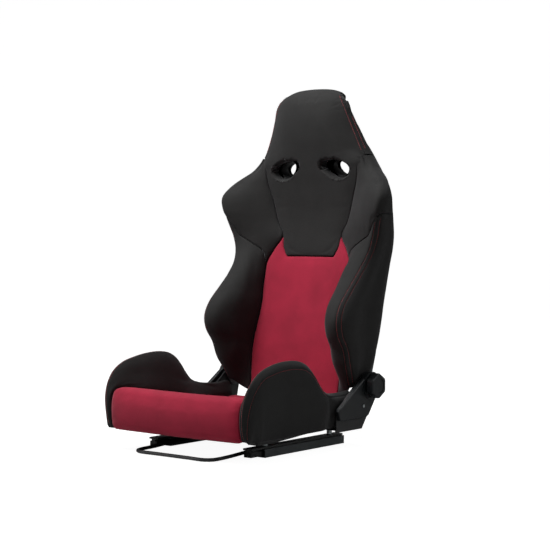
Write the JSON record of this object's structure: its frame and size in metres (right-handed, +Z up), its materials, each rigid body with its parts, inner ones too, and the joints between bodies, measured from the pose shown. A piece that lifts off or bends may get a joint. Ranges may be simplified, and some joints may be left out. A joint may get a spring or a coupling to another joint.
{
  "type": "racing seat",
  "caption": "Reclining racing seat with thigh, lumbar and shoulder bolsters, harness slots, a side recliner knob and slide rails with a front release bar.",
  "frame": {"origin": "middle of the overall box in X and Y, at the underside of the floor rails", "axes": "+Z up, the seat faces -Y, +X is the occupant's left, where the recliner knob is"},
  "size_m": [0.594, 0.6807, 0.985],
  "materials": {
    "red_fabric": "woven upholstery fabric over foam, matt",
    "black_fabric": "knitted upholstery fabric over foam, matt",
    "black_vinyl": "grained rear cover, satin",
    "black_plastic": "fine-grained moulded plastic, satin",
    "black_steel": "satin black powder coat",
    "grey_steel": "dark grey coat on pressed steel",
    "zinc": "bright zinc plate"
  },
  "bodies": {
    "floor_rails": {"floor_rail_left": "grey_steel", "floor_rail_right": "grey_steel"},
    "seat_base": {"slide_rail_left": "black_steel", "slide_rail_right": "black_steel", "base_tray": "black_steel", "cushion_spring_1": "grey_steel", "cushion_spring_2": "grey_steel", "cushion_spring_3": "grey_steel", "cushion_spring_4": "grey_steel", "rail_bolt_front_left": "zinc", "rail_bolt_front_right": "zinc", "rail_bolt_rear_left": "zinc", "rail_bolt_rear_right": "zinc", "rail_spacer_front_left": "zinc", "rail_spacer_front_right": "zinc", "rail_spacer_rear_left": "zinc", "rail_spacer_rear_right": "zinc", "recliner_base_left": "black_steel", "recliner_base_right": "black_steel", "recliner_cover_left": "black_plastic", "recliner_cover_right": "black_plastic", "cover_screw_left": "zinc", "cover_screw_right": "zinc", "cushion_center": "red_fabric", "cushion_bolster_left": "black_fabric", "cushion_bolster_right": "black_fabric"},
    "backrest": {"back_center": "red_fabric", "back_upper": "black_fabric", "back_lumbar_left": "black_fabric", "back_lumbar_right": "black_fabric", "back_wing_left": "black_fabric", "back_wing_right": "black_fabric", "back_shell": "black_vinyl", "harness_sleeve_left": "black_vinyl", "harness_sleeve_right": "black_vinyl", "back_frame": "black_steel", "back_spring_1": "grey_steel", "back_spring_2": "grey_steel", "back_spring_3": "grey_steel", "back_spring_4": "grey_steel", "recliner_arm_left": "grey_steel", "recliner_arm_right": "grey_steel"},
    "recliner_drive": {"recliner_knob": "black_plastic", "knob_cap": "black_plastic", "cross_shaft": "zinc", "shaft_end_cap": "black_plastic"},
    "release_handle": {"slide_handle": "black_steel", "latch_lever_left": "grey_steel", "latch_lever_right": "grey_steel"}
  },
  "joints": [
    {"name": "seat_slide", "type": "slide", "parent": "floor_rails", "child": "seat_base", "axis": [0, -1, 0], "range_m": [-0.11, 0.11]},
    {"name": "recline", "type": "hinge", "parent": "seat_base", "child": "backrest", "pos_m": [0, 0.2, 0.165], "axis": [-1, 0, 0], "range_deg": [-8, 55]},
    {"name": "knob_turn", "type": "hinge", "parent": "seat_base", "child": "recliner_drive", "pos_m": [0, 0.2, 0.165], "axis": [-1, 0, 0], "range_deg": [-240, 1650]},
    {"name": "handle_lift", "type": "hinge", "parent": "seat_base", "child": "release_handle", "pos_m": [0, -0.07, 0.017], "axis": [-1, 0, 0], "range_deg": [0, 8], "stiffness_Nm_per_rad": 4, "springref_deg": -8.59}
  ],
  "couplings": [
    {"joint": "knob_turn", "follows": "recline", "ratio": 30}
  ]
}
